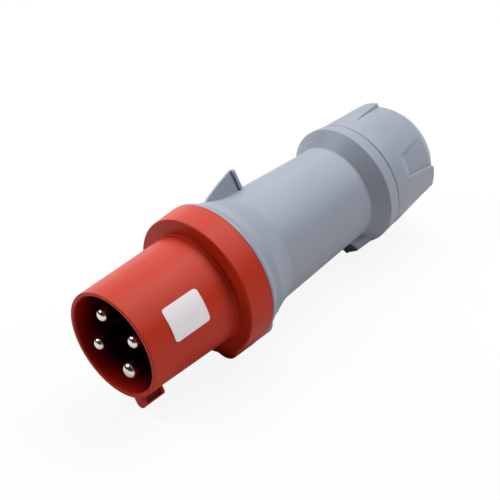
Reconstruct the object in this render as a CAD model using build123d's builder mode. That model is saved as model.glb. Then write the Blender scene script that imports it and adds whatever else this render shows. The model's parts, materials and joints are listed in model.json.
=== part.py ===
from build123d import *
from math import acos, cos, radians, sin, sqrt
import os

# Industrial plug, 63 A size with four contact pins, for a round multicore cable.
# All lengths are millimetres. The plug's axis is X: the mouth opens towards -X, the cable enters
# from +X, and the origin is the centre of the mouth. Stations are distances along X.
# The plug lies as it comes to rest, rolled over until flange and screw boss both touch the table.

# Contact pins and the circle that they stand on
pin_circle = 18.5
phase_radius = 4.0
earth_radius = 5.0
phase_tip = 1.2
earth_tip = 0.6
phase_dome = 2.9
earth_dome = 3.6
pin_neck_margin = 1.0
pin_neck_length = 1.5
pin_neck_depth = 0.4
barrel_radius = 7.6
barrel_length = 25.0
wire_bore_radius = 4.6
wire_bore_depth = 21.0
pin_fit = 0.05
barrel_clearance = 0.2
pin_names = ("pin_l3", "pin_l2", "pin_l1", "pin_earth")

# Shroud
shroud_length = 69.5
shroud_margin = 14.3
shroud_wall = 2.6
shroud_draft = 1.1
mouth_edge = 0.7
root_bead_height = 0.7
root_bead_length = 2.6
root_bead_edge = 0.35

# Key nose under the shroud
key_width = 7.4
key_height = 6.7
key_length = 16.4
key_round = 3.3
key_pocket_length = 11.6
key_pocket_height = 3.4
key_pocket_corner = 0.9
key_pocket_depth = 1.2
key_pocket_start = 2.6
key_pocket_drop = 2.9

# Flange and its screw boss
flange_rear_radius = 47.3
flange_length = 17.7
flange_draft = 1.0
flange_wall = 4.0
flange_edge = 1.2
flange_rim = 6.5
boss_radius = 11.5
boss_overhang = 3.0
boss_blend = 6.0
rear_boss_length = 16.2
rear_boss_edge = 2.2

# Seal between the two housings
seal_thickness = 0.6
seal_setback = 0.5
rear_rim_setback = 0.15
rear_rim_length = 1.5

# Contact carrier, a cup with a raised pad round each pin
carrier_face = 54.0
carrier_wall = 6.0
carrier_skirt = 2.5
carrier_shoulder = 1.3
carrier_rim_thickness = 4.5
carrier_clearance = 0.2
pad_radius = 7.2
pad_height = 2.0

# Terminal block, four towers round a post
tower_radius = 10.0
tower_floor = 10.0
post_radius = 5.0
block_rib = 2.5

# Terminal screws, two for each pin
terminal_screw_radius = 2.5
terminal_screw_length = 6.5
terminal_screw_head_radius = 3.4
terminal_screw_head_length = 3.0
terminal_screw_pitch = 9.0
terminal_screw_inset = 6.0
terminal_screw_slot_width = 1.0
terminal_screw_slot_depth = 1.2
terminal_hole_clearance = 0.6

# Terminal cover
cover_thickness = 3.0
cover_margin = 1.0
cover_edge = 0.75
cover_wire_clearance = 1.0
cover_screw_radius = 2.0
cover_screw_length = 16.0
cover_screw_head_radius = 3.8
cover_screw_head_length = 2.8

# Slots of the two cheese-head screws
screw_slot_width = 1.2
screw_slot_depth = 1.4
screw_clearance = 0.2

# Rear housing: flare, handle, collar and threaded spigot
flare_length = 32.2
flare_drop = 10.15
flare_waist_length = 7.7
flare_waist_drop = 2.95
flare_tangent_length = 14.5
handle_length = 77.5
handle_draft = 4.55
handle_wall = 3.4
tongue_clearance = 0.3
tongue_wall = 3.0
collar_root_length = 9.9
collar_length = 8.5
collar_draft = 1.05
collar_root_fillet = 2.0
collar_edge = 0.6
spigot_wall = 4.0
spigot_length = 24.0
spigot_depth = 15.5
throat_step = 3.5
throat_length = 20.0

# Hook for the socket's lid, on top of the flare
hook_setback = 13.7
hook_length = 28.0
hook_middle_length = 14.0
hook_front_height = 4.0
hook_middle_height = 9.1
hook_top_height = 12.9
hook_web_thickness = 2.4
hook_plate_thickness = 2.1
hook_plate_width = 5.0
hook_plate_corner = 1.2
hook_sink = 4.0

# Boss for the nut lock, under the collar
lock_boss_radius = 7.0
lock_boss_height = 2.25
lock_boss_length = 21.3
lock_boss_slant = 6.6
lock_nose_length = 12.3
lock_nose_sink = 3.9
lock_gap = 0.3
lock_ride = 0.6
lock_stem_radius = 2.4
lock_stem_clearance = 0.3

# Housing screw and its thread insert
housing_screw_radius = 2.0
housing_screw_inset = 4.9
housing_screw_head_radius = 3.5
housing_screw_head_length = 3.0
housing_screw_head_depth = 5.5
housing_screw_depth = 13.2
insert_radius = 3.2
insert_length = 9.0

# Label on the near side of the shroud
label_start = 19.4
label_length = 27.4
label_width = 21.2
label_corner = 2.2
label_thickness = 0.5

# Gland: seal, clamping cage and thrust ring
gland_cable_radius = 15.0
gland_seal_wall = 6.8
gland_seal_setback = 0.5
gland_seal_lip = 1.2
finger_step = 0.4
finger_taper = 1.0
cage_wall = 4.8
cage_ring_length = 6.0
cage_fingers = 12
cage_slot_width = 2.0
cage_clearance = 0.2
cage_gap = 0.3
thrust_ring_length = 5.0
thrust_ring_edge = 1.0
thrust_ring_clearance = 0.3
thrust_ring_lead = 0.6

# Gland nut
nut_gap = 0.5
nut_length = 48.1
nut_wall = 8.45
nut_setback = 0.35
nut_edge = 0.8
nut_collar_length = 9.6
nut_collar_drop = 0.5
nut_shoulder_length = 10.5
nut_shoulder_drop = 4.25
nut_shoulder_run = 4.5
nut_rear_drop = 10.55
nut_rear_run = 3.5
nut_rear_rise = 2.8
nut_rear_wall = 6.0
nut_run_out = 0.9
nut_thread_clearance = 0.3
nut_bore_clearance = 0.2
nut_cable_clearance = 4.0
nut_turned = 3.3
nut_wings = 3
nut_wing_length = 30.4
nut_wing_drop = 2.0
nut_wing_front_width = 26.9
nut_wing_rear_width = 14.8
nut_wing_root = 4.0
nut_pocket_angle = 28.0
nut_pocket_start = 11.6
nut_pocket_length = 28.5
nut_pocket_run_in = 5.5
nut_pocket_lead_drop = 0.45
nut_pocket_front_drop = 2.9
nut_pocket_rear_drop = 4.6
nut_pocket_front_width = 18.0
nut_pocket_rear_width = 23.4
nut_pocket_corner = 1.5

# Radii that follow from the sizes above
shroud_inner_radius = pin_circle + shroud_margin
shroud_mouth_radius = shroud_inner_radius + shroud_wall
shroud_root_radius = shroud_mouth_radius + shroud_draft
flange_front_radius = flange_rear_radius - flange_draft
flange_cavity_radius = flange_rear_radius - flange_rim
boss_centre = flange_rear_radius + boss_overhang - boss_radius
housing_screw_centre = boss_centre + boss_radius - housing_screw_inset
rear_rim_radius = flange_rear_radius - rear_rim_setback
rear_boss_radius = boss_radius - rear_rim_setback
carrier_seat_radius = shroud_inner_radius + carrier_shoulder
carrier_radius = carrier_seat_radius - carrier_clearance
carrier_rim_radius = flange_cavity_radius - carrier_clearance
tongue_radius = flange_cavity_radius - tongue_clearance
flare_end_radius = rear_rim_radius - flare_drop
handle_end_radius = flare_end_radius - handle_draft
cover_radius = pin_circle + tower_radius + cover_margin
hook_front_radius = flare_end_radius + hook_front_height
hook_middle_radius = flare_end_radius + hook_middle_height
hook_top_radius = flare_end_radius + hook_top_height
lock_boss_centre = handle_end_radius + lock_boss_height
lock_boss_reach = lock_boss_centre + lock_boss_radius
lock_stem_centre = (handle_end_radius + lock_boss_reach) / 2
gland_seal_radius = gland_cable_radius + gland_seal_wall
cage_inner_radius = gland_seal_radius + cage_clearance
cage_outer_radius = cage_inner_radius + cage_wall
finger_radius = cage_outer_radius - finger_step
spigot_bore_radius = cage_outer_radius + cage_clearance
spigot_radius = spigot_bore_radius + spigot_wall
throat_radius = spigot_bore_radius - throat_step
nut_thread_radius = spigot_radius + nut_thread_clearance
nut_bore_radius = spigot_bore_radius + nut_bore_clearance
nut_cable_radius = gland_cable_radius + nut_cable_clearance
thrust_ring_radius = nut_bore_radius - thrust_ring_clearance
thrust_ring_bore = nut_cable_radius + thrust_ring_lead
nut_front_radius = nut_thread_radius + nut_wall
nut_collar_radius = nut_front_radius - nut_collar_drop
nut_shoulder_radius = nut_front_radius - nut_shoulder_drop
nut_rear_radius = nut_front_radius - nut_rear_drop
collar_rear_radius = nut_front_radius + nut_setback
collar_front_radius = collar_rear_radius + collar_draft

# Stations that follow from the sizes above
key_pocket_middle = key_pocket_start + key_pocket_length / 2
bead_start = shroud_length - root_bead_length
flange_rear = shroud_length + flange_length
rear_face = flange_rear + seal_thickness
rear_boss_end = rear_face + rear_boss_length
carrier_rear = carrier_face + carrier_wall
carrier_rim_front = shroud_length + flange_wall
carrier_rim_rear = carrier_rim_front + carrier_rim_thickness
pad_face = carrier_face - pad_height
pin_neck_front = pad_face - pin_neck_margin
pin_neck_rear = pin_neck_front + pin_neck_length
barrel_front = carrier_rear + tower_floor
barrel_rear = barrel_front + barrel_length
tower_rear = barrel_rear + barrel_clearance
cover_rear = tower_rear + cover_thickness
flare_end = rear_face + flare_length
handle_end = flare_end + handle_length
collar_front = handle_end + collar_root_length
collar_rear = collar_front + collar_length
spigot_end = collar_rear + spigot_length
hook_front = rear_face + hook_setback
hook_plate_station = hook_front + hook_length
lock_boss_tip = collar_rear - lock_boss_length
lock_boss_root = lock_boss_tip - lock_boss_slant
lock_nose_rear = lock_boss_tip + lock_nose_sink
lock_nose_front = lock_nose_rear - lock_nose_length
label_end = label_start + label_length
nut_front = collar_rear + nut_gap
nut_rear = nut_front + nut_length
nut_collar_end = nut_front + nut_collar_length
nut_shoulder = nut_rear - nut_shoulder_length
nut_inner_face = nut_rear - nut_rear_wall
thrust_ring_rear = nut_inner_face - thrust_ring_clearance
thrust_ring_front = thrust_ring_rear - thrust_ring_length
cage_seat = collar_rear + spigot_depth
cage_ring_end = cage_seat + cage_ring_length
cage_end = thrust_ring_front - cage_gap
gland_seal_end = cage_end - gland_seal_setback
handle_slope = handle_draft / handle_length
nut_slope = (nut_collar_radius - nut_shoulder_radius) / (nut_shoulder - nut_collar_end)
pin_angles = {name: number * 360 / len(pin_names) for number, name in enumerate(pin_names)}
far_side, hook_side, near_side, key_side = pin_angles.values()

# Rolling the plug by this angle brings flange and boss down onto one tangent plane.
roll_angle = acos((flange_rear_radius - boss_radius) / boss_centre)
hook_direction = Vector(0, sin(roll_angle), cos(roll_angle))
near_direction = Vector(0, -cos(roll_angle), sin(roll_angle))

# The plane through axis and hook: its x runs along the plug, its y points to the hook.
middle = Plane(origin=(0, 0, 0), x_dir=(1, 0, 0), z_dir=near_direction)


def across(station):
    """A plane square to the axis: its y points to the hook, its x to the far side."""
    return Plane(origin=(station, 0, 0), x_dir=-near_direction, z_dir=(1, 0, 0))


def outward(angle):
    """The direction from the axis at an angle round it, counted in the planes across the plug."""
    turn = radians(angle)
    return hook_direction * sin(turn) - near_direction * cos(turn)


def lengthwise_plane(angle, distance):
    """A plane that holds the outward direction, with its x axis at a distance from the plug's."""
    return Plane(
        origin=outward(angle) * distance,
        x_dir=(1, 0, 0),
        z_dir=Vector(1, 0, 0).cross(outward(angle)),
    )


def outward_plane(angle, distance):
    """A plane along the plug that faces outward at a distance from the plug's axis."""
    return Plane(origin=outward(angle) * distance, x_dir=(1, 0, 0), z_dir=outward(angle))


def shroud_radius(station):
    """The drafted outside of the shroud at a station."""
    return shroud_mouth_radius + shroud_draft * station / shroud_length


def round_corner(sketch, station, radius, size):
    """Round the corner of a profile that lies nearest to a station and radius."""
    fillet(sketch.vertices().sort_by_distance((station, radius, 0))[0], size)


def flange_outline(radius, boss):
    """The flange's round outline with the screw boss blended into it at the key side."""
    reach = radius + boss_blend
    boss_reach = boss + boss_blend
    blend_drop = (reach**2 + boss_centre**2 - boss_reach**2) / (2 * boss_centre)
    blend_centre = Vector(sqrt(reach**2 - blend_drop**2), -blend_drop)
    boss_middle = Vector(0, -boss_centre)
    on_circle = blend_centre * (radius / reach)
    on_boss = boss_middle + (blend_centre - boss_middle) * (boss / boss_reach)
    on_blend = blend_centre + ((on_circle + on_boss) / 2 - blend_centre).normalized() * boss_blend
    with BuildLine() as outline:
        ThreePointArc(on_boss, on_blend, on_circle)
        ThreePointArc(on_circle, (0, radius), (-on_circle.X, on_circle.Y))
        ThreePointArc((-on_circle.X, on_circle.Y), (-on_blend.X, on_blend.Y), (-on_boss.X, on_boss.Y))
        ThreePointArc((-on_boss.X, on_boss.Y), (0, -boss_centre - boss), on_boss)
    make_face(outline.edges())


def shank_radius(angle):
    """The earth pin at the key side is thicker than the three phase pins."""
    return earth_radius if angle == key_side else phase_radius


def screw_places():
    """Where the two terminal screws sit along a pin."""
    last = barrel_rear - terminal_screw_inset
    return [(last - terminal_screw_pitch, 0), (last, 0)]


def slant_corners(shift, station):
    """The region between a station and the lock boss's slanted front, which may be shifted."""
    low = (lock_boss_root + shift, -handle_end_radius)
    high = (lock_boss_tip + shift, -lock_boss_reach)
    rise = high[0] - low[0]
    drop = high[1] - low[1]
    inner = (low[0] - rise, low[1] - drop)
    outer = (high[0] + rise, high[1] + drop)
    return [inner, outer, (station, outer[1]), (station, inner[1])]


def keep(part, name):
    """Label a finished piece and write its file."""
    part.label = name
    export_step(part, f"parts/{name}.step")


# Front housing: shroud, key nose, bead, flange and boss moulded in one piece
os.makedirs("parts", exist_ok=True)
with BuildPart() as front_housing:
    with BuildSketch(across(shroud_length)) as front_outline:
        flange_outline(flange_front_radius, boss_radius)
    with BuildSketch(across(flange_rear)) as rear_outline:
        flange_outline(flange_rear_radius, boss_radius)
    loft(ruled=True)
    fillet(front_housing.faces().sort_by(Axis.X)[0].outer_wire().edges(), flange_edge)
    with BuildSketch(middle) as shroud_profile:
        with BuildLine():
            Polyline(
                (0, 0),
                (0, shroud_mouth_radius),
                (bead_start, shroud_radius(bead_start)),
                (bead_start, shroud_root_radius + root_bead_height),
                (shroud_length + flange_edge, shroud_root_radius + root_bead_height),
                (shroud_length + flange_edge, 0),
                close=True,
            )
        make_face()
        round_corner(shroud_profile, 0, shroud_mouth_radius, mouth_edge)
        round_corner(shroud_profile, bead_start, shroud_root_radius + root_bead_height, root_bead_edge)
    revolve(axis=Axis.X)
    with BuildSketch(across(0)) as key_profile:
        with Locations((0, -shroud_mouth_radius)):
            Rectangle(key_width, 2 * key_height)
        fillet(key_profile.vertices().group_by(Axis.Y)[0], key_round)
    extrude(amount=key_length)
    with BuildSketch(middle) as bore_profile:
        with BuildLine():
            Polyline(
                (0, 0),
                (0, shroud_inner_radius + mouth_edge),
                (mouth_edge, shroud_inner_radius),
                (carrier_face, shroud_inner_radius),
                (carrier_face, carrier_seat_radius),
                (carrier_rim_front, carrier_seat_radius),
                (carrier_rim_front, flange_cavity_radius),
                (flange_rear, flange_cavity_radius),
                (flange_rear, 0),
                close=True,
            )
        make_face()
    revolve(axis=Axis.X, mode=Mode.SUBTRACT)
    for flank in (-1, 1):
        with BuildSketch(middle.offset(flank * key_width / 2)) as key_pocket:
            with Locations((key_pocket_middle, -shroud_mouth_radius - key_pocket_drop)):
                RectangleRounded(key_pocket_length, key_pocket_height, key_pocket_corner)
        extrude(amount=-flank * key_pocket_depth, mode=Mode.SUBTRACT)
    with BuildSketch(across(flange_rear)) as insert_hole:
        with Locations((0, -housing_screw_centre)):
            Circle(insert_radius)
    extrude(amount=-insert_length, mode=Mode.SUBTRACT)
    with BuildSketch(across(flange_rear)) as screw_hole:
        with Locations((0, -housing_screw_centre)):
            Circle(housing_screw_radius + screw_clearance)
    extrude(amount=-housing_screw_depth, mode=Mode.SUBTRACT)
keep(front_housing.part, "front_housing")

# Contact carrier: the cup whose face closes the mouth behind the pins
with BuildPart() as contact_carrier:
    with BuildSketch(middle) as cup_profile:
        with BuildLine():
            Polyline(
                (carrier_face, 0),
                (carrier_face, carrier_radius),
                (carrier_rim_front, carrier_radius),
                (carrier_rim_front, carrier_rim_radius),
                (carrier_rim_rear, carrier_rim_radius),
                (carrier_rim_rear, carrier_radius - carrier_skirt),
                (carrier_rear, carrier_radius - carrier_skirt),
                (carrier_rear, 0),
                close=True,
            )
        make_face()
    revolve(axis=Axis.X)
    with BuildSketch(across(carrier_face)) as pads:
        with PolarLocations(pin_circle, len(pin_angles)):
            Circle(pad_radius)
    extrude(amount=-pad_height)
    with BuildSketch(across(pad_face)) as carrier_holes:
        for angle in pin_angles.values():
            with PolarLocations(pin_circle, 1, start_angle=angle):
                Circle(shank_radius(angle) + pin_fit)
    extrude(amount=carrier_rear - pad_face, mode=Mode.SUBTRACT)
keep(contact_carrier.part, "contact_carrier")

# Terminal block: four towers for the pins' barrels round a post for the cover's screw
with BuildPart() as terminal_block:
    with BuildSketch(across(carrier_rear)) as towers:
        Circle(post_radius)
        Rectangle(2 * pin_circle, block_rib)
        Rectangle(block_rib, 2 * pin_circle)
        with PolarLocations(pin_circle, len(pin_angles)):
            Circle(tower_radius)
    extrude(amount=tower_rear - carrier_rear)
    with BuildSketch(across(barrel_front)) as wells:
        with PolarLocations(pin_circle, len(pin_angles)):
            Circle(barrel_radius + barrel_clearance)
    extrude(amount=barrel_length + barrel_clearance, mode=Mode.SUBTRACT)
    with BuildSketch(across(carrier_rear)) as block_holes:
        for angle in pin_angles.values():
            with PolarLocations(pin_circle, 1, start_angle=angle):
                Circle(shank_radius(angle) + pin_fit)
    extrude(amount=tower_floor, mode=Mode.SUBTRACT)
    for angle in pin_angles.values():
        with BuildSketch(outward_plane(angle, pin_circle)) as screw_windows:
            with Locations(*screw_places()):
                Circle(terminal_screw_head_radius + terminal_hole_clearance)
        extrude(amount=tower_radius + barrel_clearance, mode=Mode.SUBTRACT)
    with BuildSketch(across(tower_rear)) as post_hole:
        Circle(cover_screw_radius)
    extrude(amount=cover_thickness - cover_screw_length, mode=Mode.SUBTRACT)
keep(terminal_block.part, "terminal_block")


def contact_pin(angle):
    """A turned pin with a domed tip; its barrel takes the wire and two clamping screws."""
    radius = shank_radius(angle)
    tip = earth_tip if angle == key_side else phase_tip
    dome = earth_dome if angle == key_side else phase_dome
    with BuildPart() as pin:
        with BuildSketch(lengthwise_plane(angle, pin_circle)) as pin_profile:
            with BuildLine():
                Polyline(
                    (tip, 0),
                    (tip, radius),
                    (pin_neck_front, radius),
                    (pin_neck_front, radius - pin_neck_depth),
                    (pin_neck_rear, radius - pin_neck_depth),
                    (pin_neck_rear, radius),
                    (barrel_front, radius),
                    (barrel_front, barrel_radius),
                    (barrel_rear, barrel_radius),
                    (barrel_rear, wire_bore_radius),
                    (barrel_rear - wire_bore_depth, wire_bore_radius),
                    (barrel_rear - wire_bore_depth, 0),
                    close=True,
                )
            make_face()
            round_corner(pin_profile, tip, radius, dome)
        revolve(axis=Axis(outward(angle) * pin_circle, (1, 0, 0)))
        with BuildSketch(outward_plane(angle, pin_circle)) as screw_holes:
            with Locations(*screw_places()):
                Circle(terminal_screw_radius)
        extrude(amount=barrel_radius, mode=Mode.SUBTRACT)
    return pin.part


for pin_name, pin_angle in pin_angles.items():
    keep(contact_pin(pin_angle), pin_name)


def terminal_screws(angle):
    """The two slotted screws that clamp the wire, screwed into the barrel from outside."""
    seat = outward_plane(angle, pin_circle + barrel_radius)
    with BuildPart() as screws:
        with BuildSketch(seat):
            with Locations(*screw_places()):
                Circle(terminal_screw_radius)
        extrude(amount=-terminal_screw_length)
        with BuildSketch(seat):
            with Locations(*screw_places()):
                Circle(terminal_screw_head_radius)
        extrude(amount=terminal_screw_head_length)
        with BuildSketch(seat.offset(terminal_screw_head_length)):
            with Locations(*screw_places()):
                Rectangle(2 * terminal_screw_head_radius + screw_clearance, terminal_screw_slot_width)
        extrude(amount=-terminal_screw_slot_depth, mode=Mode.SUBTRACT)
    return screws.part


for pin_name, pin_angle in pin_angles.items():
    keep(terminal_screws(pin_angle), pin_name.replace("pin", "terminal_screws"))

# Terminal cover, a disc that keeps the pins in their towers
with BuildPart() as terminal_cover:
    with BuildSketch(across(tower_rear)) as cover_disc:
        Circle(cover_radius)
        with PolarLocations(pin_circle, len(pin_angles)):
            Circle(wire_bore_radius + cover_wire_clearance, mode=Mode.SUBTRACT)
        Circle(cover_screw_radius + screw_clearance, mode=Mode.SUBTRACT)
    extrude(amount=cover_thickness)
    chamfer(terminal_cover.faces().sort_by(Axis.X)[-1].outer_wire().edges(), cover_edge)
keep(terminal_cover.part, "terminal_cover")


def slotted_screw(seat, radius, length, head_radius, head_length):
    """A cheese-head screw whose head stands on a plane and whose shank goes in behind it."""
    with BuildPart() as screw:
        with BuildSketch(seat):
            Circle(head_radius)
        extrude(amount=head_length)
        with BuildSketch(seat):
            Circle(radius)
        extrude(amount=-length)
        with BuildSketch(seat.offset(head_length)):
            Rectangle(2 * head_radius + screw_clearance, screw_slot_width)
        extrude(amount=-screw_slot_depth, mode=Mode.SUBTRACT)
    return screw.part


cover_screw = slotted_screw(
    across(cover_rear),
    cover_screw_radius,
    cover_screw_length,
    cover_screw_head_radius,
    cover_screw_head_length,
)
keep(cover_screw, "cover_screw")

# Seal between the housings, cut to the flange's outline
with BuildPart() as housing_seal:
    with BuildSketch(across(flange_rear)) as seal_outline:
        flange_outline(flange_rear_radius - seal_setback, boss_radius - seal_setback)
        Circle(flange_cavity_radius, mode=Mode.SUBTRACT)
        with Locations((0, -housing_screw_centre)):
            Circle(housing_screw_radius + screw_clearance, mode=Mode.SUBTRACT)
    extrude(amount=seal_thickness)
keep(housing_seal.part, "housing_seal")

# The boss under the collar that guides the nut lock, with its slanted front
with BuildPart() as lock_boss:
    with BuildSketch(across(lock_boss_root)) as lock_boss_outline:
        with Locations((0, -lock_boss_centre)):
            Circle(lock_boss_radius)
    extrude(amount=collar_rear - lock_boss_root)
    with BuildSketch(middle) as slanted_front:
        with BuildLine():
            Polyline(*slant_corners(0, lock_nose_front - lock_boss_radius), close=True)
        make_face()
    extrude(amount=2 * lock_boss_radius, both=True, mode=Mode.SUBTRACT)

# Rear housing: tongue, flare, handle, collar and spigot, with hook fin and two bosses
with BuildPart() as rear_housing:
    with BuildSketch(middle) as handle_profile:
        with BuildLine():
            Polyline(
                (carrier_rim_rear, 0),
                (carrier_rim_rear, tongue_radius),
                (rear_face, tongue_radius),
                (rear_face, rear_rim_radius),
                (rear_face + rear_rim_length, rear_rim_radius),
            )
            Bezier(
                (rear_face + rear_rim_length, rear_rim_radius),
                (rear_face + flare_waist_length, rear_rim_radius - flare_waist_drop),
                (flare_end - flare_tangent_length, flare_end_radius + handle_slope * flare_tangent_length),
                (flare_end, flare_end_radius),
            )
            Polyline(
                (flare_end, flare_end_radius),
                (handle_end, handle_end_radius),
                (collar_front, collar_front_radius),
                (collar_rear, collar_rear_radius),
                (collar_rear, spigot_radius),
                (spigot_end, spigot_radius),
                (spigot_end, 0),
                (carrier_rim_rear, 0),
            )
        make_face()
        round_corner(handle_profile, handle_end, handle_end_radius, collar_root_fillet)
        round_corner(handle_profile, collar_front, collar_front_radius, collar_edge)
    revolve(axis=Axis.X)
    with BuildSketch(across(rear_face)) as rear_rim:
        flange_outline(rear_rim_radius, rear_boss_radius)
    extrude(amount=rear_rim_length)
    with BuildSketch(lengthwise_plane(key_side, boss_centre)) as boss_profile:
        with BuildLine():
            Polyline(
                (rear_face, 0),
                (rear_face, rear_boss_radius),
                (rear_boss_end, rear_boss_radius),
                (rear_boss_end, 0),
                close=True,
            )
        make_face()
        round_corner(boss_profile, rear_boss_end, rear_boss_radius, rear_boss_edge)
    revolve(axis=Axis(outward(key_side) * boss_centre, (1, 0, 0)))
    add(lock_boss.part)
    with BuildSketch(middle) as hook_web:
        with BuildLine():
            Line((hook_front, hook_front_radius - hook_sink), (hook_front, hook_front_radius))
            ThreePointArc(
                (hook_front, hook_front_radius),
                (hook_front + hook_middle_length, hook_middle_radius),
                (hook_plate_station, hook_top_radius),
            )
            Polyline(
                (hook_plate_station, hook_top_radius),
                (hook_plate_station, flare_end_radius - hook_sink),
                (flare_end, flare_end_radius - hook_sink),
                (hook_front, hook_front_radius - hook_sink),
            )
        make_face()
    extrude(amount=hook_web_thickness / 2, both=True)
    with BuildSketch(across(hook_plate_station)) as hook_plate:
        with Locations((0, (hook_top_radius + flare_end_radius - hook_sink) / 2)):
            Rectangle(hook_plate_width, hook_top_radius - flare_end_radius + hook_sink)
        fillet(hook_plate.vertices().group_by(Axis.Y)[-1], hook_plate_corner)
    extrude(amount=hook_plate_thickness)
    with BuildSketch(middle) as hollow_profile:
        with BuildLine():
            Polyline(
                (carrier_rim_rear, 0),
                (carrier_rim_rear, tongue_radius - tongue_wall),
                (rear_face + rear_rim_length, tongue_radius - tongue_wall),
                (flare_end, flare_end_radius - handle_wall),
                (handle_end, handle_end_radius - handle_wall),
                (cage_seat - throat_length, throat_radius),
                (cage_seat, throat_radius),
                (cage_seat, spigot_bore_radius),
                (spigot_end, spigot_bore_radius),
                (spigot_end, 0),
                close=True,
            )
        make_face()
    revolve(axis=Axis.X, mode=Mode.SUBTRACT)
    with BuildSketch(across(rear_boss_end)) as head_recess:
        with Locations((0, -housing_screw_centre)):
            Circle(housing_screw_head_radius + screw_clearance)
    extrude(amount=-housing_screw_head_depth, mode=Mode.SUBTRACT)
    with BuildSketch(across(rear_boss_end)) as screw_bore:
        with Locations((0, -housing_screw_centre)):
            Circle(housing_screw_radius + screw_clearance)
    extrude(amount=-rear_boss_length, mode=Mode.SUBTRACT)
    with BuildSketch(across(collar_rear)) as stem_bore:
        with Locations((0, -lock_stem_centre)):
            Circle(lock_stem_radius + lock_stem_clearance)
    extrude(amount=lock_nose_front - collar_rear, mode=Mode.SUBTRACT)
keep(rear_housing.part, "rear_housing")

# Nut lock: a blunt nose that rides on the handle, with a stem through the boss to the nut
with BuildPart() as nut_lock:
    with BuildSketch(lengthwise_plane(key_side, lock_boss_centre)) as nose_profile:
        with Locations((lock_nose_rear, 0)):
            Ellipse(lock_nose_length, lock_boss_radius)
            Rectangle(lock_nose_length, lock_boss_radius, align=Align.MAX, mode=Mode.INTERSECT)
    revolve(axis=Axis(outward(key_side) * lock_boss_centre, (1, 0, 0)))
    with BuildSketch(middle) as slanted_rear:
        with BuildLine():
            Polyline(*slant_corners(-lock_gap, collar_front), close=True)
        make_face()
    extrude(amount=2 * lock_boss_radius, both=True, mode=Mode.SUBTRACT)
    with BuildSketch(middle) as handle_clearance:
        with BuildLine():
            Polyline(
                (flare_end, 0),
                (flare_end, flare_end_radius + lock_ride),
                (handle_end, handle_end_radius + lock_ride),
                (handle_end, 0),
                close=True,
            )
        make_face()
    revolve(axis=Axis.X, mode=Mode.SUBTRACT)
    with BuildSketch(across(nut_front - lock_gap)) as stem:
        with Locations((0, -lock_stem_centre)):
            Circle(lock_stem_radius)
    extrude(amount=lock_boss_root - nut_front + lock_gap)
keep(nut_lock.part, "nut_lock")

# Housing screw and the brass insert that it turns into
housing_screw_seat = Plane(
    origin=outward(key_side) * housing_screw_centre + Vector(rear_boss_end - housing_screw_head_depth, 0, 0),
    x_dir=hook_direction,
    z_dir=(1, 0, 0),
)
screw_reach = rear_boss_end - housing_screw_head_depth - flange_rear + housing_screw_depth
housing_screw = slotted_screw(
    housing_screw_seat,
    housing_screw_radius,
    screw_reach,
    housing_screw_head_radius,
    housing_screw_head_length,
)
keep(housing_screw, "housing_screw")

with BuildPart() as thread_insert:
    with BuildSketch(across(flange_rear)) as insert_ring:
        with Locations((0, -housing_screw_centre)):
            Circle(insert_radius)
            Circle(housing_screw_radius, mode=Mode.SUBTRACT)
    extrude(amount=-insert_length)
keep(thread_insert.part, "thread_insert")

# Label plate, a thin curved plate on the near side of the shroud
with BuildPart() as label_plate:
    with BuildSketch(middle) as plate_profile:
        with BuildLine():
            Polyline(
                (label_start, shroud_radius(label_start)),
                (label_end, shroud_radius(label_end)),
                (label_end, shroud_radius(label_end) + label_thickness),
                (label_start, shroud_radius(label_start) + label_thickness),
                close=True,
            )
        make_face()
    revolve(axis=Axis.X)
    with BuildSketch(middle) as plate_outline:
        with Locations(((label_start + label_end) / 2, 0)):
            RectangleRounded(label_length, label_width, label_corner)
    extrude(amount=2 * shroud_root_radius, mode=Mode.INTERSECT)
keep(label_plate.part, "label_plate")

# Gland seal, a rubber sleeve round the cable
with BuildPart() as gland_seal:
    with BuildSketch(middle) as seal_profile:
        with BuildLine():
            Polyline(
                (cage_seat, gland_cable_radius + gland_seal_lip),
                (cage_seat + gland_seal_lip, gland_cable_radius),
                (gland_seal_end - gland_seal_lip, gland_cable_radius),
                (gland_seal_end, gland_cable_radius + gland_seal_lip),
                (gland_seal_end, gland_seal_radius),
                (cage_seat, gland_seal_radius),
                close=True,
            )
        make_face()
    revolve(axis=Axis.X)
keep(gland_seal.part, "gland_seal")

# Clamping cage: a ring in the spigot with fingers that the thrust ring presses on the seal
with BuildPart() as clamping_cage:
    with BuildSketch(middle) as cage_profile:
        with BuildLine():
            Polyline(
                (cage_seat, cage_inner_radius),
                (cage_seat, cage_outer_radius),
                (cage_ring_end, cage_outer_radius),
                (cage_ring_end, finger_radius),
                (cage_end, finger_radius - finger_taper),
                (cage_end, cage_inner_radius),
                close=True,
            )
        make_face()
    revolve(axis=Axis.X)
    with BuildSketch(across(cage_end)) as finger_slots:
        with PolarLocations(spigot_bore_radius / 2, cage_fingers):
            Rectangle(spigot_bore_radius + cage_slot_width, cage_slot_width)
        Circle(cage_inner_radius - cage_slot_width, mode=Mode.SUBTRACT)
    extrude(amount=cage_ring_end - cage_end, mode=Mode.SUBTRACT)
keep(clamping_cage.part, "clamping_cage")

# Thrust ring between the fingers and the nut's rear wall
with BuildPart() as thrust_ring:
    with BuildSketch(across(thrust_ring_front)) as thrust_outline:
        Circle(thrust_ring_radius)
        Circle(thrust_ring_bore, mode=Mode.SUBTRACT)
    extrude(amount=thrust_ring_length)
    chamfer(thrust_ring.edges().filter_by(GeomType.CIRCLE).sort_by(SortBy.RADIUS)[:1], thrust_ring_edge)
keep(thrust_ring.part, "thrust_ring")


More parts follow.
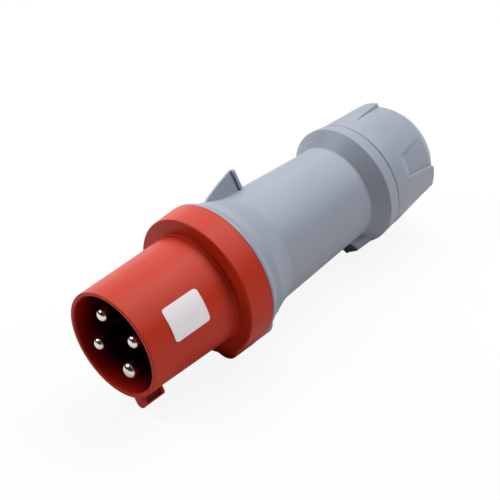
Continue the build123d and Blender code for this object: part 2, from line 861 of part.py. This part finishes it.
def nut_strips(profile, widths, corner, first_angle):
    """Rings with a given profile, cut down to strips that widen or narrow along the nut."""
    start = profile[0][0]
    end = profile[-1][0]
    with BuildPart() as strip:
        with BuildSketch(middle):
            with BuildLine():
                Polyline(*profile, close=True)
            make_face()
        revolve(axis=Axis.X)
        with BuildSketch(outward_plane(first_angle, 0)) as outline:
            with BuildLine():
                Polyline(
                    (start, -widths[0] / 2),
                    (end, -widths[1] / 2),
                    (end, widths[1] / 2),
                    (start, widths[0] / 2),
                    close=True,
                )
            make_face()
            fillet(outline.vertices().group_by(Axis.X)[0], corner)
        extrude(amount=nut_front_radius + nut_edge, mode=Mode.INTERSECT)
    return [strip.part.rotate(Axis.X, number * 360 / nut_wings) for number in range(nut_wings)]


# Gland nut: a tapering cap with square-ended wings, each with a hollow beside it for the fingers
wing_end = nut_collar_end + nut_wing_length
nut_wing_strips = nut_strips(
    [
        (nut_collar_end, nut_bore_radius + nut_wing_root),
        (nut_collar_end, nut_collar_radius),
        (wing_end, nut_front_radius - nut_wing_drop),
        (wing_end, nut_bore_radius + nut_wing_root - nut_wing_drop),
    ],
    (nut_wing_front_width, nut_wing_rear_width),
    nut_edge,
    hook_side + nut_turned,
)
pocket_start = nut_front + nut_pocket_start
pocket_end = pocket_start + nut_pocket_length
nut_pocket_strips = nut_strips(
    [
        (pocket_start, nut_front_radius + nut_edge),
        (pocket_start, nut_front_radius - nut_pocket_lead_drop),
        (pocket_start + nut_pocket_run_in, nut_front_radius - nut_pocket_front_drop),
        (pocket_end, nut_front_radius - nut_pocket_rear_drop),
        (pocket_end, nut_front_radius + nut_edge),
    ],
    (nut_pocket_front_width, nut_pocket_rear_width),
    nut_pocket_corner,
    hook_side + nut_turned - nut_pocket_angle,
)
with BuildPart() as gland_nut:
    with BuildSketch(middle) as nut_profile:
        with BuildLine():
            Polyline(
                (nut_rear, nut_rear_radius),
                (nut_rear, 0),
                (nut_front, 0),
                (nut_front, nut_front_radius - nut_edge),
                (nut_front + nut_edge, nut_front_radius),
                (nut_collar_end, nut_collar_radius),
                (nut_shoulder, nut_shoulder_radius),
            )
            Bezier(
                (nut_shoulder, nut_shoulder_radius),
                (nut_shoulder + nut_shoulder_run, nut_shoulder_radius - nut_slope * nut_shoulder_run),
                (nut_rear - nut_rear_run, nut_rear_radius + nut_rear_rise),
                (nut_rear, nut_rear_radius),
            )
        make_face()
    revolve(axis=Axis.X)
    add(nut_pocket_strips, mode=Mode.SUBTRACT)
    add(nut_wing_strips)
    with BuildSketch(middle) as nut_bore:
        with BuildLine():
            Polyline(
                (nut_front, 0),
                (nut_front, nut_thread_radius),
                (spigot_end + nut_run_out, nut_thread_radius),
                (spigot_end + nut_run_out, nut_bore_radius),
                (nut_inner_face, nut_bore_radius),
                (nut_inner_face, nut_cable_radius),
                (nut_rear, nut_cable_radius),
                (nut_rear, 0),
                close=True,
            )
        make_face()
    revolve(axis=Axis.X, mode=Mode.SUBTRACT)
keep(gland_nut.part, "gland_nut")
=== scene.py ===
import json
from math import cos, hypot, radians, sin

import bmesh
import bpy
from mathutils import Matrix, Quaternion, Vector


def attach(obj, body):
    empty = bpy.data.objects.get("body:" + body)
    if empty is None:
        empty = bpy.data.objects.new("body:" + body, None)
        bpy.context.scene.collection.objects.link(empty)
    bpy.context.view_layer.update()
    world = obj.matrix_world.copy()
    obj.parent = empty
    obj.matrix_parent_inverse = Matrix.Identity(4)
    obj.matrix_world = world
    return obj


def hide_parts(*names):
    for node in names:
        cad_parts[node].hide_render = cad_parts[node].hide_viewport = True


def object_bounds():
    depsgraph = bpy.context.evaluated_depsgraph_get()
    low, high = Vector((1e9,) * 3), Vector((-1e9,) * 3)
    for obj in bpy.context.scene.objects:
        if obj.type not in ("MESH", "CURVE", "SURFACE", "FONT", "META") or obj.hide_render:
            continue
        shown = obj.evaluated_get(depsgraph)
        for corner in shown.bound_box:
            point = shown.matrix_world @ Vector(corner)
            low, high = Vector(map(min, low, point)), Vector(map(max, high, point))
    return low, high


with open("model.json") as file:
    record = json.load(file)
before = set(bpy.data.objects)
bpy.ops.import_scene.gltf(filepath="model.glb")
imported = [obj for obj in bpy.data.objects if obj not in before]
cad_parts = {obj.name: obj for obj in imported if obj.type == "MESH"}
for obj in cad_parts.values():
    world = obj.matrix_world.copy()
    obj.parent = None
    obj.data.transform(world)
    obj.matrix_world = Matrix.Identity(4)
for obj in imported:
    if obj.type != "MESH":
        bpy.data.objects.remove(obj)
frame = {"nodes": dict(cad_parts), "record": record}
cad_box = [list(corner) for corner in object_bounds()]

# Camera, as the photograph was taken
CAMERA_PLACE = Vector((-0.4024, -0.5938, 0.4798))
CAMERA_AIM = Vector((0.1219, 0.0045, -0.0034))
CAMERA_ROLL = radians(-10.19)
CAMERA_LENS = 106.66
CAMERA_SENSOR = 36.0

# Colours
RED = (0.530, 0.0290, 0.0075)
GREY = (0.283, 0.313, 0.376)
BLACK = (0.012, 0.012, 0.013)
NICKEL = (0.86, 0.82, 0.76)
BRASS = (0.74, 0.53, 0.25)
STEEL = (0.62, 0.63, 0.64)
RUBBER = (0.018, 0.018, 0.019)
LABEL = (0.94, 0.89, 0.93)

# Mottle: repeats per metre, detail, the noise levels it spans, and the spread of the colour
MOTTLE_SCALE = 22.0
MOTTLE_DETAIL = 4.0
MOTTLE_SPAN = (0.3, 0.7)
MOULDED_SPREAD = 0.035
TURNED_SPREAD = 0.02

# Polish, which the roughness follows: repeats per metre and detail
POLISH_SCALE = 400.0
POLISH_DETAIL = 3.0

# Grain: repeats per metre, detail, strength on plastic and on the label's film, and height in metres
GRAIN_SCALE = 2400.0
GRAIN_DETAIL = 5.0
GRAIN_STRENGTH = 0.35
FILM_STRENGTH = 0.1
GRAIN_HEIGHT = 0.00006

# Turning marks: repeats per metre, waviness, strength, and height in metres
TURNING_SCALE = 1400.0
TURNING_DISTORTION = 0.6
TURNING_STRENGTH = 0.08
TURNING_HEIGHT = 0.00002

# Sheen of the plastics
RED_SPECULAR = 0.20
PLAIN_SPECULAR = 0.5

# How far the plug lies rolled over about its length
ROLL = radians(22.68)

# Where the mouth, the pins' shanks and the key's pocket lie, in metres, which is where shade is painted into the
# colour
MOUTH_RADIUS = 0.0331
LIP_DEPTH = (0.0006, 0.0030)
MOUTH_DEPTH = (0.001, 0.016)
SHANK_DEPTH = (0.004, 0.009)
POCKET_ALONG = (0.0023, 0.0146)
POCKET_OUT = (0.0365, 0.0404)
POCKET_SIDE = (-0.0036, 0.0036)

# Painted shade: the shares of red, green and blue that are left there, and on the mouth's wall from its lip inwards
MOUTH_SHADE_SHARES = (0.14, 0.10, 0.10)
WALL_SHADE_SHARES = (0.85, 0.25, 0.25)
POCKET_SHADE_SHARES = (0.3, 0.2, 0.2)
SHANK_SHADE_SHARES = (0.12, 0.12, 0.12)

# The flare along the plug: place, smooth radius of the CAD node and radius with its rim and creases, in metres
FLARE = (
    (0.0925, 0.04554, 0.04554), (0.0932, 0.04519, 0.04519), (0.0941, 0.04472, 0.04312), (0.0958, 0.04388, 0.04288),
    (0.0975, 0.04306, 0.04266), (0.0995, 0.04215, 0.04238), (0.1010, 0.04152, 0.04218), (0.1024, 0.04095, 0.04164),
    (0.1040, 0.04034, 0.04102), (0.1060, 0.03966, 0.04027), (0.1077, 0.03914, 0.03966), (0.1100, 0.03852, 0.03890),
    (0.1125, 0.03796, 0.03818), (0.1145, 0.03760, 0.03766), (0.1165, 0.03733, 0.03715), (0.1180, 0.03716, 0.03708),
    (0.1200, 0.03700, 0.03700),
)

# How near a point is to the smooth flare to count as on it, in metres
FLARE_SLACK = 0.0002

# Where sharp edges run round the flare, and how near counts as there and as the same place, in metres
CREASES = (0.0932, 0.0941, 0.1010, 0.1165)
CREASE_SLACK = 0.00001
SAME_PLACE = 0.000001

# Floor: half its side in metres, colour, and the share of white that the camera sees at two distances in metres
FLOOR_HALF = 4.0
FLOOR_COLOUR = (0.80, 0.80, 0.80)
FLOOR_WHITE = (0.90, 1.0)
FLOOR_FADE = (0.3, 1.1)

# Sky: its strength in reflections and as light, and the shares that are left at two directions along the plug
SKY_GLOSS = 0.35
SKY_GLOW = 0.05
SKY_SHARES = (0.05, 1.0)
SKY_FADE = (-0.5, 0.4)

# Where the softboxes look, and their distance from it and width, in metres
PLUG_MIDDLE = Vector((0.13, 0.0, 0.0))
LAMP_DISTANCE = 1.3
LAMP_SIZE = 0.8

# Softboxes: name, azimuth and elevation in degrees, and power in watts
SOFTBOXES = (
    ("overhead", 0, 68, 7.3),
    ("front_far", 125, 50, 8.4),
    ("side_high", 340, 55, 3.5),
    ("side", 315, 40, 6.0),
    ("rear", 45, 40, 4.5),
    ("low_far", 70, 8, 3.0),
)


def add(tree, kind, values=None, **settings):
    """A new node of a kind, with values on its input sockets and settings of its own."""
    node = tree.nodes.new("ShaderNode" + kind)
    for setting, value in settings.items():
        setattr(node, setting, value)
    for socket, value in (values or {}).items():
        node.inputs[socket].default_value = value
    return node


def link(tree, source, output, target, socket):
    """Lead one node's output to another's input."""
    tree.links.new(source.outputs[output], target.inputs[socket])


def ramp(tree, source, output, span, levels):
    """A node whose Result goes from one level to another over a span of its source."""
    values = {"From Min": span[0], "From Max": span[1], "To Min": levels[0], "To Max": levels[1]}
    slope = add(tree, "MapRange", values)
    link(tree, source, output, slope, "Value")
    return slope


def blend_shaders(tree, share, output, first, second, target):
    """Give a target the first shader where a share is nought, the second where it is one, and a mix between."""
    mix = add(tree, "MixShader")
    link(tree, share, output, mix, "Fac")
    link(tree, first, 0, mix, 1)
    link(tree, second, 0, mix, 2)
    link(tree, mix, "Shader", target, "Surface")


def show(name, data):
    """A new object in the scene."""
    piece = bpy.data.objects.new(name, data)
    bpy.context.scene.collection.objects.link(piece)
    return piece


def new_material(name):
    """A material with only its output and a Principled shader."""
    material = bpy.data.materials.new(name)
    material.use_nodes = True
    tree = material.node_tree
    tree.nodes.clear()
    output = add(tree, "OutputMaterial")
    shader = add(tree, "BsdfPrincipled")
    link(tree, shader, "BSDF", output, "Surface")
    return material, tree, shader


def noise(tree, scale, detail):
    """Noise in the object's own coordinates, which are metres in the part's frame."""
    texture = add(tree, "TexNoise", {"Scale": scale, "Detail": detail})
    link(tree, add(tree, "TexCoord"), "Object", texture, "Vector")
    return texture


def mottled_colour(tree, shader, colour, spread):
    """A base colour that wanders a little over the surface, as moulded or plated stock does."""
    shades = add(tree, "ValToRGB")
    for stop, place, level in zip(shades.color_ramp.elements, MOTTLE_SPAN, (1 - spread, 1 + spread)):
        stop.position = place
        stop.color = (*[channel * level for channel in colour], 1)
    link(tree, noise(tree, MOTTLE_SCALE, MOTTLE_DETAIL), "Fac", shades, "Fac")
    link(tree, shades, "Color", shader, "Base Color")


def uneven_roughness(tree, shader, low, high):
    """A roughness that wanders between two values."""
    polish = ramp(tree, noise(tree, POLISH_SCALE, POLISH_DETAIL), "Fac", (0, 1), (low, high))
    link(tree, polish, "Result", shader, "Roughness")


def grain(tree, shader, texture, strength, height):
    """Bumps of a height in metres that follow a texture."""
    bump = add(tree, "Bump", {"Strength": strength, "Distance": height})
    link(tree, texture, "Fac", bump, "Height")
    link(tree, bump, "Normal", shader, "Normal")


def moulded(name, colour, low, high, specular=PLAIN_SPECULAR, strength=GRAIN_STRENGTH):
    """Moulded plastic, rubber or film with a fine grain, and a roughness from low to high."""
    material, tree, shader = new_material(name)
    shader.inputs["Specular IOR Level"].default_value = specular
    mottled_colour(tree, shader, colour, MOULDED_SPREAD)
    uneven_roughness(tree, shader, low, high)
    grain(tree, shader, noise(tree, GRAIN_SCALE, GRAIN_DETAIL), strength, GRAIN_HEIGHT)
    return material


def turned(name, colour, low, high):
    """Metal with fine turning marks square to the plug's axis, and a roughness from low to high."""
    material, tree, shader = new_material(name)
    shader.inputs["Metallic"].default_value = 1.0
    mottled_colour(tree, shader, colour, TURNED_SPREAD)
    uneven_roughness(tree, shader, low, high)
    values = {"Scale": TURNING_SCALE, "Distortion": TURNING_DISTORTION}
    rings = add(tree, "TexWave", values, bands_direction="X")
    link(tree, add(tree, "TexCoord"), "Object", rings, "Vector")
    grain(tree, shader, rings, TURNING_STRENGTH, TURNING_HEIGHT)
    return material


def product(tree, *masks):
    """The product of several masks."""
    total = masks[0]
    for mask in masks[1:]:
        times = add(tree, "Math", operation="MULTIPLY")
        link(tree, total, 0, times, 0)
        link(tree, mask, 0, times, 1)
        total = times
    return total


def between(tree, source, output, low, high):
    """One where an output lies between two values, and nought elsewhere."""
    compare = add(tree, "Math", {1: (low + high) / 2, 2: (high - low) / 2}, operation="COMPARE")
    link(tree, source, output, compare, 0)
    return compare


def deepening(tree, along, span):
    """Nought up to one station, one from another, and even between them."""
    return ramp(tree, along, "X", span, (0, 1))


def plug_axes(tree):
    """Nodes for the place along the plug, the distance from its axis, and from its middle plane."""
    place = add(tree, "TexCoord")
    along = add(tree, "SeparateXYZ")
    across = add(tree, "VectorMath", {1: (0, 1, 1)}, operation="MULTIPLY")
    radius = add(tree, "VectorMath", operation="LENGTH")
    side = add(tree, "VectorMath", {1: (0, -cos(ROLL), sin(ROLL))}, operation="DOT_PRODUCT")
    link(tree, place, "Object", along, "Vector")
    link(tree, place, "Object", across, 0)
    link(tree, across, "Vector", radius, 0)
    link(tree, place, "Object", side, 0)
    return along, radius, side


def darken_for_shade(tree, mask, shares):
    """Paint shade: darken the base colour to shares of its red, green and blue where a mask is one."""
    shader = next(node for node in tree.nodes if node.type == "BSDF_PRINCIPLED")
    colour = shader.inputs["Base Color"].links[0].from_socket
    losses = [share - 1 for share in shares]
    level = add(tree, "VectorMath", {1: losses, 2: (1, 1, 1)}, operation="MULTIPLY_ADD")
    left = add(tree, "VectorMath", operation="MULTIPLY")
    link(tree, mask, 0, level, 0)
    tree.links.new(colour, left.inputs[0])
    link(tree, level, "Vector", left, 1)
    link(tree, left, "Vector", shader, "Base Color")


def paint_inside_shade(red, metal):
    """Paint shade into the colour of the mouth, the key's pocket and the pins' shanks, where the photograph is
    nearly black.
    """
    along, radius, side = plug_axes(red)
    inside = between(red, radius, "Value", 0, MOUTH_RADIUS)
    # painted shade: the mouth's inside darker with depth, and its wall from the lip inwards
    darken_for_shade(red, product(red, inside, deepening(red, along, MOUTH_DEPTH)), MOUTH_SHADE_SHARES)
    darken_for_shade(red, product(red, inside, deepening(red, along, LIP_DEPTH)), WALL_SHADE_SHARES)
    # painted shade in the key's pocket
    pocket = product(
        red,
        between(red, along, "X", *POCKET_ALONG),
        between(red, radius, "Value", *POCKET_OUT),
        between(red, side, "Value", *POCKET_SIDE),
    )
    darken_for_shade(red, pocket, POCKET_SHADE_SHARES)
    # painted shade on the pins' shanks, darker further in
    darken_for_shade(metal, deepening(metal, plug_axes(metal)[0], SHANK_DEPTH), SHANK_SHADE_SHARES)


def flare_radii(place):
    """The flare's smooth and creased radius at a place along the plug."""
    for (start, *before), (end, *after) in zip(FLARE, FLARE[1:]):
        if start <= place <= end:
            share = (place - start) / (end - start)
            return [low + share * (high - low) for low, high in zip(before, after)]
    return None


def flare_share(point):
    """How much further out a point of the flare goes, or nothing for a point that isn't on it."""
    radii = flare_radii(point.x)
    out = hypot(point.y, point.z)
    if radii is None or abs(out - radii[0]) > FLARE_SLACK:
        return None
    return radii[1] / radii[0]


def on_crease(edge, shares):
    """Whether an edge runs round the flare at one of its creases."""
    start, end = edge.verts
    place = start.co.x
    if abs(place - end.co.x) >= SAME_PLACE or not (shares[start] and shares[end]):
        return False
    return any(abs(place - crease) < CREASE_SLACK for crease in CREASES)


def creased_housing(housing):
    """The rear housing with the thin rim and the two creases that the photograph shows on its flare."""
    mesh = housing.data.copy()
    mesh.name = "rear_housing_creased"
    form = bmesh.new()
    form.from_mesh(mesh)
    for place, _, _ in FLARE:
        everything = form.verts[:] + form.edges[:] + form.faces[:]
        bmesh.ops.bisect_plane(form, geom=everything, dist=SAME_PLACE, plane_co=(place, 0, 0), plane_no=(1, 0, 0))
    bmesh.ops.triangulate(form, faces=form.faces[:])
    shares = {vert: flare_share(vert.co) for vert in form.verts}
    for edge in form.edges:
        if on_crease(edge, shares):
            edge.smooth = False
    for vert, share in shares.items():
        if share:
            vert.co.y *= share
            vert.co.z *= share
    form.to_mesh(mesh)
    form.free()
    mesh.attributes.remove(mesh.attributes["custom_normal"])
    piece = show("rear_housing_creased", mesh)
    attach(piece, "housing")
    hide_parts("rear_housing")


def floor(low):
    """A white floor that keeps the object's shadow."""
    mesh = bpy.data.meshes.new("floor")
    corners = ((-1, -1), (1, -1), (1, 1), (-1, 1))
    mesh.from_pydata([(x * FLOOR_HALF, y * FLOOR_HALF, low) for x, y in corners], [], [(0, 1, 2, 3)])
    material = bpy.data.materials.new("floor")
    material.use_nodes = True
    tree = material.node_tree
    tree.nodes.clear()
    lit = add(tree, "BsdfDiffuse", {"Color": (*FLOOR_COLOUR, 1)})
    white = add(tree, "Emission", {"Strength": 1.0})
    distance = add(tree, "VectorMath", operation="LENGTH")
    link(tree, add(tree, "TexCoord"), "Object", distance, "Vector")
    whiter = ramp(tree, distance, "Value", FLOOR_FADE, FLOOR_WHITE)
    share = add(tree, "Math", operation="MULTIPLY")
    link(tree, add(tree, "LightPath"), "Is Camera Ray", share, 0)
    link(tree, whiter, "Result", share, 1)
    blend_shaders(tree, share, "Value", lit, white, add(tree, "OutputMaterial"))
    mesh.materials.append(material)
    sheet = show("floor", mesh)


def sky():
    """A surround that is white to the camera, dimmer in reflections and as light, and dimmest ahead of the mouth."""
    world = bpy.data.worlds.new("studio")
    bpy.context.scene.world = world
    world.use_nodes = True
    tree = world.node_tree
    tree.nodes.clear()
    axes = add(tree, "SeparateXYZ")
    link(tree, add(tree, "TexCoord"), "Generated", axes, "Vector")
    fade = ramp(tree, axes, "X", SKY_FADE, SKY_SHARES)
    rays = add(tree, "LightPath")
    shiny = add(tree, "Math", operation="MAXIMUM")
    link(tree, rays, "Is Glossy Ray", shiny, 0)
    link(tree, rays, "Is Transmission Ray", shiny, 1)
    level = ramp(tree, shiny, "Value", (0, 1), (SKY_GLOW, SKY_GLOSS))
    strength = add(tree, "Math", operation="MULTIPLY")
    link(tree, fade, "Result", strength, 0)
    link(tree, level, "Result", strength, 1)
    glow = add(tree, "Background", {"Color": (1, 1, 1, 1)})
    link(tree, strength, "Value", glow, "Strength")
    white = add(tree, "Background", {"Color": (1, 1, 1, 1)})
    blend_shaders(tree, rays, "Is Camera Ray", glow, white, add(tree, "OutputWorld"))


def softbox(name, azimuth, elevation, power):
    """A round softbox that looks at the plug's middle from a direction."""
    light = bpy.data.lights.new(name, "AREA")
    light.shape = "DISK"
    light.size = LAMP_SIZE
    light.energy = power
    lamp = show(name, light)
    level = cos(radians(elevation))
    away = Vector((level * cos(radians(azimuth)), level * sin(radians(azimuth)), sin(radians(elevation))))
    lamp.location = PLUG_MIDDLE + away * LAMP_DISTANCE
    lamp.rotation_euler = (-away).to_track_quat("-Z", "Y").to_euler()


def take_aim():
    """A camera that sees the plug as the photograph does."""
    camera = show("camera", bpy.data.cameras.new("camera"))
    camera.data.lens = CAMERA_LENS
    camera.data.sensor_width = CAMERA_SENSOR
    camera.location = CAMERA_PLACE
    camera.rotation_mode = "QUATERNION"
    level_view = (CAMERA_AIM - CAMERA_PLACE).to_track_quat("-Z", "Y")
    camera.rotation_quaternion = level_view @ Quaternion((0, 0, 1), CAMERA_ROLL)
    bpy.context.scene.camera = camera


looks = {
    "red_plastic": moulded("red_plastic", RED, 0.38, 0.48, specular=RED_SPECULAR),
    "grey_plastic": moulded("grey_plastic", GREY, 0.42, 0.52),
    "black_plastic": moulded("black_plastic", BLACK, 0.40, 0.50),
    "seal_rubber": moulded("seal_rubber", RUBBER, 0.60, 0.75),
    "label_film": moulded("label_film", LABEL, 0.38, 0.48, strength=FILM_STRENGTH),
    "contact_metal": turned("contact_metal", NICKEL, 0.17, 0.25),
    "bare_brass": turned("bare_brass", BRASS, 0.22, 0.34),
    "screw_steel": turned("screw_steel", STEEL, 0.24, 0.36),
}
paint_inside_shade(looks["red_plastic"].node_tree, looks["contact_metal"].node_tree)
for part in frame["record"]["subparts"]:
    materials = frame["nodes"][part["node"]].data.materials
    materials.clear()
    materials.append(looks[part["material_slot"]])
creased_housing(frame["nodes"]["rear_housing"])

floor(cad_box[0][2])
sky()
for lamp in SOFTBOXES:
    softbox(*lamp)
take_aim()
bpy.context.scene.view_settings.view_transform = "Standard"
